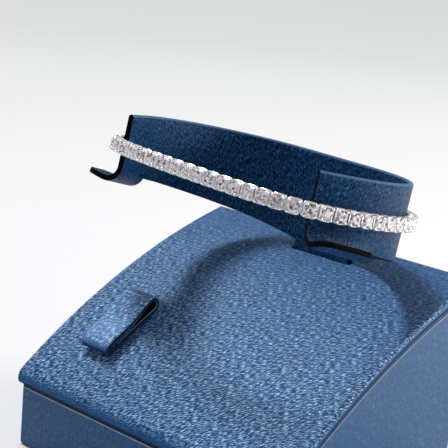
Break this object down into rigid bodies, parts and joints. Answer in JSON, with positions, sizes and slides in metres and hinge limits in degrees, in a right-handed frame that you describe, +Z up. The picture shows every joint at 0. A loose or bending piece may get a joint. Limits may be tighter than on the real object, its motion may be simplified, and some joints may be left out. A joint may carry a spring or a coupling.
{
  "type": "tennis bracelet on display stand",
  "caption": "Line bracelet of round stones in square claw settings, closed round a C-shaped holder that leans back on an arched, leatherette-covered display block with a folded ring tab",
  "frame": {"origin": "middle of the block's flat underside", "axes": "X along the block's low front edge, -Y the front with the low edge, +Z up"},
  "size_m": [0.0714, 0.0616, 0.0721],
  "materials": {
    "block_leatherette": "brushed-grain leatherette over board",
    "panel_leatherette": "brushed-grain leatherette over board",
    "holder_leatherette": "dark navy leatherette with raw black cut edges",
    "tab_leatherette": "navy leatherette strap",
    "white_metal_and_stones": "polished white metal with colourless faceted stones",
    "white_metal": "polished white metal"
  },
  "bodies": {
    "root": {"block_base": "block_leatherette", "block_top": "panel_leatherette", "bracelet_holder": "holder_leatherette", "ring_tab": "tab_leatherette", "bracelet_chain": "white_metal_and_stones", "box_clasp": "white_metal"}
  },
  "joints": []
}
